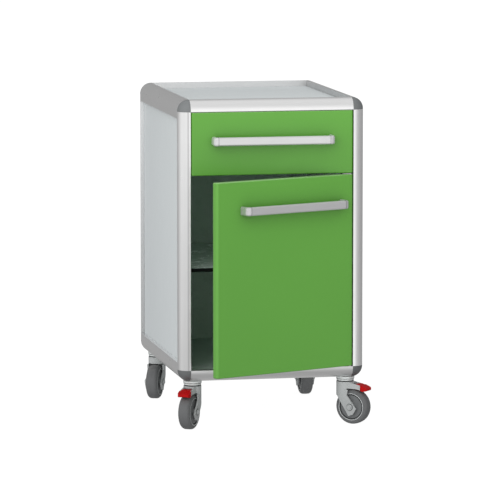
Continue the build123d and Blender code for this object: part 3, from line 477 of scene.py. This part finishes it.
# Material, bevel in mm, bevel segments, name prefixes. The order matters: the shelf pins
# also start with "shelf", so they are dressed twice and keep the later material.
FINISHES = (
    ("alu_z_left", 0.35, 2, ("post_front_left", "post_rear_left")),
    ("alu_z", 0.35, 2, ("post_front_right", "post_rear_right")),
    ("alu_y", 0.35, 2, ("rail_top_left", "rail_bottom_left", "rail_bottom_right")),
    ("alu_y_right", 0.35, 2, ("rail_top_right",)),
    ("alu_x", 0.35, 2, ("rail_top_front", "rail_bottom_front", "rail_bottom_rear")),
    ("alu_x_rear", 0.35, 2, ("rail_top_rear",)),
    ("cap", 0.45, 2, ("corner_caps",)),
    ("panel", 0.4, 2, ("side_panel", "back_panel")),
    ("top", 0.5, 2, ("top_panel",)),
    ("inner_floor", 0.3, 2, ("bottom_panel",)),
    ("inner", 0.2, 2, ("inner_liner", "divider_panel")),
    ("shelf", 0.0, 2, ("shelf",)),
    ("zinc", 0.2, 2, ("shelf_pins",)),
    ("zinc", 0.3, 2, ("base_gussets", "gusset_screws")),
    ("zinc", 0.15, 2, ("slide_", "door_pivots")),
    ("bush", 0.0, 2, ("door_bushes",)),
    ("magnet", 0.4, 2, ("magnet_catch",)),
    ("plate", 0.3, 2, ("caster_plates",)),
    ("zinc", 0.4, 2, ("caster_kingpins", "drawer_handle_screws", "door_handle_screws")),
    ("seal", 0.3, 2, ("swivel_seals",)),
    ("green_drawer", 0.0, 2, ("drawer_front",)),
    ("green", 0.0, 2, ("door_panel",)),
    ("tray", 0.3, 2, ("drawer_tray",)),
    ("handle", 0.0, 2, ("drawer_handle_bar",)),
    ("handle_door", 0.0, 2, ("door_handle_bar", "door_handle_ends")),
    ("handle_end", 0.0, 2, ("drawer_handle_ends",)),
    ("fork", 1.0, 3, ("fork_",)),
    ("fork", 0.7, 3, ("axle_",)),
    ("hub", 0.4, 2, ("hub_",)),
    ("tyre", 0.0, 2, ("tyre_",)),
    ("red", 1.4, 3, ("brake_pedal_",)),
)
for key, bevel, segments, prefixes in FINISHES:
    for name, node in frame["nodes"].items():
        if name.startswith(prefixes):
            dress(node, MAT[key], bevel, segments)


# ---------------------------------------------------------------- mesh helpers
def piece(name, verts, faces, material, body, smooth=True):
    """Mesh object that rides on a body, its normals turned outwards."""
    mesh = bpy.data.meshes.new(name)
    mesh.from_pydata([tuple(v) for v in verts], [], faces)
    mesh.validate()
    mesh.update()
    obj = bpy.data.objects.new(name, mesh)
    SCENE.collection.objects.link(obj)
    mesh.materials.append(material)
    if smooth:
        shade_smooth(obj)
        add_smooth_modifier(obj)
    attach(obj, body)
    bm = bmesh.new()
    bm.from_mesh(mesh)
    bmesh.ops.recalc_face_normals(bm, faces=bm.faces)
    bm.to_mesh(mesh)
    bm.free()
    return obj


def torus_faces(rows, count):
    """Quads over rows of count points, closed both ways."""
    return [(i * count + k, i * count + (k + 1) % count,
             (i + 1) % rows * count + (k + 1) % count, (i + 1) % rows * count + k)
            for i in range(rows) for k in range(count)]


def lathe(name, profile, axes, material, body, segments=112):
    """Closed profile of (radius, distance along the axle) in mm, turned about the axle."""
    centre, across, axle = axes
    verts = []
    for i in range(segments):
        angle = 2 * pi * i / segments
        radial = across * cos(angle) + UP * sin(angle)
        verts += [centre + (radial * r + axle * n) * MM for r, n in profile]
    faces = [(a, d, c, b) for a, b, c, d in torus_faces(segments, len(profile))]
    return piece(name, verts, faces, material, body)


def arc(centre_r, centre_n, radius, start, end, steps):
    """Arc in the (r, n) half plane, degrees from the +n direction towards +r."""
    angles = [radians(start + (end - start) * i / steps) for i in range(steps + 1)]
    return [(centre_r + radius * sin(a), centre_n + radius * cos(a)) for a in angles]


def mirrored(half):
    """A half profile with n >= 0, closed by its mirror image, without repeated points."""
    full = half + [(r, -n) for r, n in reversed(half)]
    return [p for p, before in zip(full, full[-1:] + full[:-1])
            if abs(p[0] - before[0]) + abs(p[1] - before[1]) > 1e-6]


# ---------------------------------------------------------------- casters
# Wheel profiles: (radius, distance from the wheel's mid plane), mm.
TYRE_RADIUS = 37.5
TYRE_HALF = 13.5    # half width
# Shallow crown, round shoulder, a moulded line below it and a lip that grips the rim.
TYRE = mirrored(
    [(TYRE_RADIUS, 0.0), (TYRE_RADIUS - 0.02, 2.0), (TYRE_RADIUS - 0.1, 4.0)]
    + arc(TYRE_RADIUS - 8.0, TYRE_HALF - 8.3, radius=7.85, start=78, end=4, steps=14)
    + [(TYRE_RADIUS - 8.2, TYRE_HALF - 0.5), (TYRE_RADIUS - 8.35, TYRE_HALF - 0.42),
       (29.15, TYRE_HALF - 0.75), (28.9, TYRE_HALF - 1.3), (28.9, 0.0)])
HUB = mirrored([
    (4.05, 15.15), (7.6, 15.15), (8.3, 14.7), (8.6, 13.0), (9.4, 12.0), (10.4, 11.7),
    (16.0, 11.6), (23.6, 11.6), (24.6, 11.4), (25.0, 10.8), (25.1, 8.6), (25.5, 8.2),
    (26.6, 8.2), (27.0, 8.6), (27.1, 11.2), (27.4, 11.9), (28.5, 11.9), (28.85, 11.5)])
# One side each; the other side has n negated.
RIM_RING = [
    (28.86, TYRE_HALF - 0.9), (28.7, TYRE_HALF - 0.55), (28.3, TYRE_HALF - 0.42),
    (27.9, TYRE_HALF - 0.5), (27.72, TYRE_HALF - 0.85), (27.7, TYRE_HALF - 2.4),
    (28.86, TYRE_HALF - 2.4)]
# Dark ring over the hub's groove: painted shade.
RIM_GROOVE_SHADE = [(27.66, 11.0), (27.66, 12.3), (27.3, 12.45), (26.4, 12.3), (25.9, 11.9),
              (25.7, 11.0)]
AXLE_RING = [(6.0, 19.04), (7.5, 19.04), (7.6, 19.2), (7.3, 19.5), (6.0, 19.5)]
# Dark band under the plate's flange, painted shade: (radius from the swivel axis, height
# above the ground), mm.
PLATE_SHADE_BAND = [(18.3, 97.46), (19.3, 97.46), (19.4, 97.2), (19.3, 96.7), (19.0, 96.5),
             (18.3, 96.5)]
LIP_SEGMENTS = 96

JOINTS = {joint["name"]: joint for joint in frame["joints"]}


def caster_axes(caster):
    """(wheel centre, level direction from swivel to wheel, axle direction), swivel's place."""
    roll = JOINTS["wheel_" + caster + "_roll"]
    x, y = JOINTS["swivel_" + caster + "_turn"]["pos_m"][:2]
    centre = Vector(roll["pos_m"])
    across = Vector((centre.x - x, centre.y - y, 0)).normalized()
    return (centre, across, Vector(roll["axis"]).normalized()), Vector((x, y, 0))


# painted shade under each plate's flange, as a thin dark band
def plate_shade_band(caster, swivel):
    verts = []
    for i in range(LIP_SEGMENTS):
        angle = 2 * pi * i / LIP_SEGMENTS
        verts += [Vector((swivel.x + cos(angle) * r * MM, swivel.y + sin(angle) * r * MM, z * MM))
                  for r, z in PLATE_SHADE_BAND]
    piece("plate_shade_band_" + caster, verts, torus_faces(LIP_SEGMENTS, len(PLATE_SHADE_BAND)),
          MAT["groove"], "cabinet")


def build_caster(caster):
    axes, swivel = caster_axes(caster)
    wheel = "wheel_" + caster
    tyre = lathe("tyre_tread_" + caster, TYRE, axes, MAT["tyre"], wheel, 128)
    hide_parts("tyre_" + caster)
    hub = lathe("hub_disc_" + caster, HUB, axes, MAT["hub"], wheel)
    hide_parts("hub_" + caster)

    def on_both_sides(*parts):
        for side, sign in (("a", 1), ("b", -1)):
            for name, profile, key, body, slot, segments in parts:
                lathe(f"{name}_{side}_{caster}", [(r, sign * n) for r, n in profile], axes,
                      MAT[key], body, segments)

    # light ring on the rim, with a dark ring inside it: painted shade in the hub's groove
    on_both_sides(("rim_ring", RIM_RING, "ring", wheel, "fork_grey", 112),
                  ("rim_groove_shade", RIM_GROOVE_SHADE, "groove", wheel, "seal_black", 112))
    # dark ring where the axle head sits on the cheek
    on_both_sides(("axle_ring", AXLE_RING, "groove", "swivel_" + caster, "seal_black", 64))
    plate_shade_band(caster, swivel)


for caster in ("front_left", "front_right", "rear_left", "rear_right"):
    build_caster(caster)


# ---------------------------------------------------------------- handle seams
SEAM_DEPTH, SEAM_HEIGHT = 5.12, 9.42    # half sizes of the rounded rectangle, mm
SEAM_CORNER = 4.0                       # corner radius, mm
SEAM_HALF_WIDTH = 0.28                  # mm, along the bar
SEAM_INNER = 0.94                       # inner outline as a share of the outer
SEAM_OFFSET = 120.1                     # mm from the bar's middle
DRAWER_BAR_Y, DRAWER_BAR_Z = -272.0, 613.7      # mm
DOOR_ANGLE = radians(22.67)             # turn of the open door about z


def seam(name, centre, along, outwards, body):
    """Hairline joint: a thin rounded-rectangle band round a handle bar."""
    outline = []
    for sign_y, sign_z, start in ((1, 1, 0), (-1, 1, 90), (-1, -1, 180), (1, -1, 270)):
        y, z = sign_y * (SEAM_DEPTH - SEAM_CORNER), sign_z * (SEAM_HEIGHT - SEAM_CORNER)
        outline += [(y + SEAM_CORNER * cos(radians(start + 15 * i)),
                     z + SEAM_CORNER * sin(radians(start + 15 * i))) for i in range(7)]
    rings = ((SEAM_HALF_WIDTH, 1.0), (SEAM_HALF_WIDTH, SEAM_INNER),
             (-SEAM_HALF_WIDTH, SEAM_INNER), (-SEAM_HALF_WIDTH, 1.0))
    verts = [centre + (along * x + outwards * (y * scale) + UP * (z * scale)) * MM
             for x, scale in rings for y, z in outline]
    piece(name, verts, torus_faces(len(rings), len(outline)), MAT["groove"], body,
          smooth=False)


SIDES = (("left", -1), ("right", 1))
for side, sign in SIDES:
    centre = Vector((sign * SEAM_OFFSET, DRAWER_BAR_Y, DRAWER_BAR_Z)) * MM
    seam("drawer_handle_seam_" + side, centre, Vector((1, 0, 0)), Vector((0, 1, 0)), "drawer")

door_along = Vector((cos(DOOR_ANGLE), sin(DOOR_ANGLE), 0))
door_across = Vector((-sin(DOOR_ANGLE), cos(DOOR_ANGLE), 0))
door_bar_middle = Vector([(a + b) / 2 for a, b in zip(*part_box("door_handle_bar"))])
for side, sign in SIDES:
    seam("door_handle_seam_" + side, door_bar_middle + door_along * (sign * SEAM_OFFSET * MM),
         door_along, door_across, "door")


# ---------------------------------------------------------------- shelf edge
def shelf_edge_band():
    """Strip along x on the shelf's front edge, its front corners rounded; mm."""
    half_length = 172.5
    front, back = -230.4, -228.6
    bottom, top = 334.6, 342.4
    radius, steps = 0.7, 4
    turns = [radians(90 * i / steps) for i in range(steps + 1)]
    profile = [(back, bottom)]
    profile += [(front + radius - radius * sin(a), bottom + radius - radius * cos(a))
                for a in turns]
    profile += [(front + radius - radius * cos(a), top - radius + radius * sin(a))
                for a in turns]
    profile += [(back, top)]
    count = len(profile)
    verts = [Vector((x, y, z)) * MM for x in (-half_length, half_length) for y, z in profile]
    faces = [tuple(range(count))[::-1], tuple(range(count, 2 * count))]
    faces += [(i, (i + 1) % count, count + (i + 1) % count, count + i) for i in range(count)]
    piece("shelf_edge_band", verts, faces, MAT["black"], "cabinet")


shelf_edge_band()


# ---------------------------------------------------------------- floor
def floor():
    """Pale disc, mostly glowing white to the camera; hidden from diffuse and glossy rays."""
    mesh = bpy.data.meshes.new("floor")
    bm = bmesh.new()
    bmesh.ops.create_circle(bm, cap_ends=True, radius=60.0, segments=96)
    bm.to_mesh(mesh)
    bm.free()
    obj = bpy.data.objects.new("floor", mesh)
    SCENE.collection.objects.link(obj)
    material, t = new_material("floor_pale")
    patches = t.ramp(t.noise(t.coords(), scale=3.0), start=0.3, end=0.7)
    pale = t.mix(patches, (0.80, 0.80, 0.80, 1), (0.82, 0.82, 0.82, 1))
    matt = t.add("ShaderNodeBsdfDiffuse", {"Color": pale})
    glow = t.add("ShaderNodeEmission", {"Color": WHITE, "Strength": 1.12})
    seen = t.add("ShaderNodeLightPath").outputs["Is Camera Ray"]
    glow_share = t.math("MULTIPLY", seen, 0.86)
    t.put(t.surface, t.mix_shader(glow_share, matt.outputs[0], glow.outputs[0]))
    mesh.materials.append(material)
    obj.visible_glossy = False
    obj.visible_diffuse = False


floor()


# ---------------------------------------------------------------- world
# Brightness round the horizon: (0 away from BRIGHT_SIDE to 1 towards it, level).
BRIGHT_SIDE = (-0.5, -0.866, 0.0)
SIDE_LEVELS = ((0.0, 0.31), (0.07, 0.34), (0.25, 0.376), (0.37, 0.40), (0.55, 0.46),
               (0.65, 0.52), (0.76, 0.74), (0.88, 0.84), (1.0, 0.88))
# Soft lobes added on top: direction, cosine where the lobe starts, added level.
LOBES = (((-0.98, 0.20, 0.0), 0.80, 0.20),      # left
         ((0.22, -0.97, 0.0), 0.82, 0.27))      # front
CEILING_LEVEL, GROUND_LEVEL = 0.76, 0.46


def world():
    """Grey studio, brightest at the front left; plain white to the camera."""
    studio = bpy.data.worlds.new("studio")
    SCENE.world = studio
    t = Nodes(studio, "ShaderNodeOutputWorld")
    direction = t.add("ShaderNodeTexCoord").outputs["Generated"]
    height = t.split(direction)[Z]

    towards = t.ramp(t.dot(direction, BRIGHT_SIDE), start=-1.0, end=1.0)
    side = t.add("ShaderNodeValToRGB", {0: towards})
    stops = side.color_ramp.elements
    for stop, (position, level) in zip(stops, (SIDE_LEVELS[0], SIDE_LEVELS[-1])):
        stop.position = position
        stop.color = (level, level, level, 1)
    for position, level in SIDE_LEVELS[1:-1]:
        stops.new(position).color = (level, level, level, 1)

    def smooth(value, start, end, high=1.0):
        return t.ramp(value, start, end, low=0.0, high=high, kind="SMOOTHSTEP")

    def blend(factor, level, other):
        return t.add("ShaderNodeMix", {0: factor, 2: level, 3: other},
                     data_type="FLOAT").outputs[0]

    level = side.outputs[0]
    for lobe, start, added in LOBES:
        level = t.math("ADD", level, smooth(t.dot(direction, lobe), start, 1.0, high=added))
    level = blend(smooth(height, start=0.58, end=0.92), level, CEILING_LEVEL)
    depth = t.math("MULTIPLY", height, -1.0)
    level = blend(smooth(depth, start=0.28, end=0.75), level, GROUND_LEVEL)

    light = t.add("ShaderNodeBackground", {"Color": WHITE, "Strength": level})
    backdrop = t.add("ShaderNodeBackground", {"Color": WHITE, "Strength": 1.0})
    seen = t.add("ShaderNodeLightPath").outputs["Is Camera Ray"]
    t.put(t.surface, t.mix_shader(seen, light.outputs[0], backdrop.outputs[0]))


world()


# ---------------------------------------------------------------- lights and camera
def sun(name, towards, power, angle):
    """Soft sun, its angle in degrees, left out of reflections."""
    data = bpy.data.lights.new(name, "SUN")
    data.energy = power
    data.angle = radians(angle)
    obj = bpy.data.objects.new(name, data)
    SCENE.collection.objects.link(obj)
    obj.rotation_euler = Vector(towards).to_track_quat("-Z", "Y").to_euler()
    obj.visible_glossy = False


def camera(location, down, right, lens):
    """Looks along +Y, tipped down and turned right by degrees; lens in mm."""
    data = bpy.data.cameras.new("camera")
    data.lens = lens
    data.sensor_width = 36.0
    data.clip_start, data.clip_end = 0.1, 200.0
    obj = bpy.data.objects.new("camera", data)
    SCENE.collection.objects.link(obj)
    obj.location = location
    obj.rotation_euler = (radians(90 - down), 0, -radians(right))
    SCENE.camera = obj


sun("soft_key", towards=(0.68, 0.62, -0.45), power=1.04, angle=60)
sun("soft_front", towards=(-0.15, 0.85, -0.50), power=0.80, angle=110)
camera(location=(-1.74629, -8.73221, 1.42902), down=6.905, right=11.319, lens=297.27)

SCENE.view_settings.view_transform = "Standard"
SCENE.view_settings.look = "None"
SCENE.view_settings.exposure = 0.0
SCENE.view_settings.gamma = 1.0
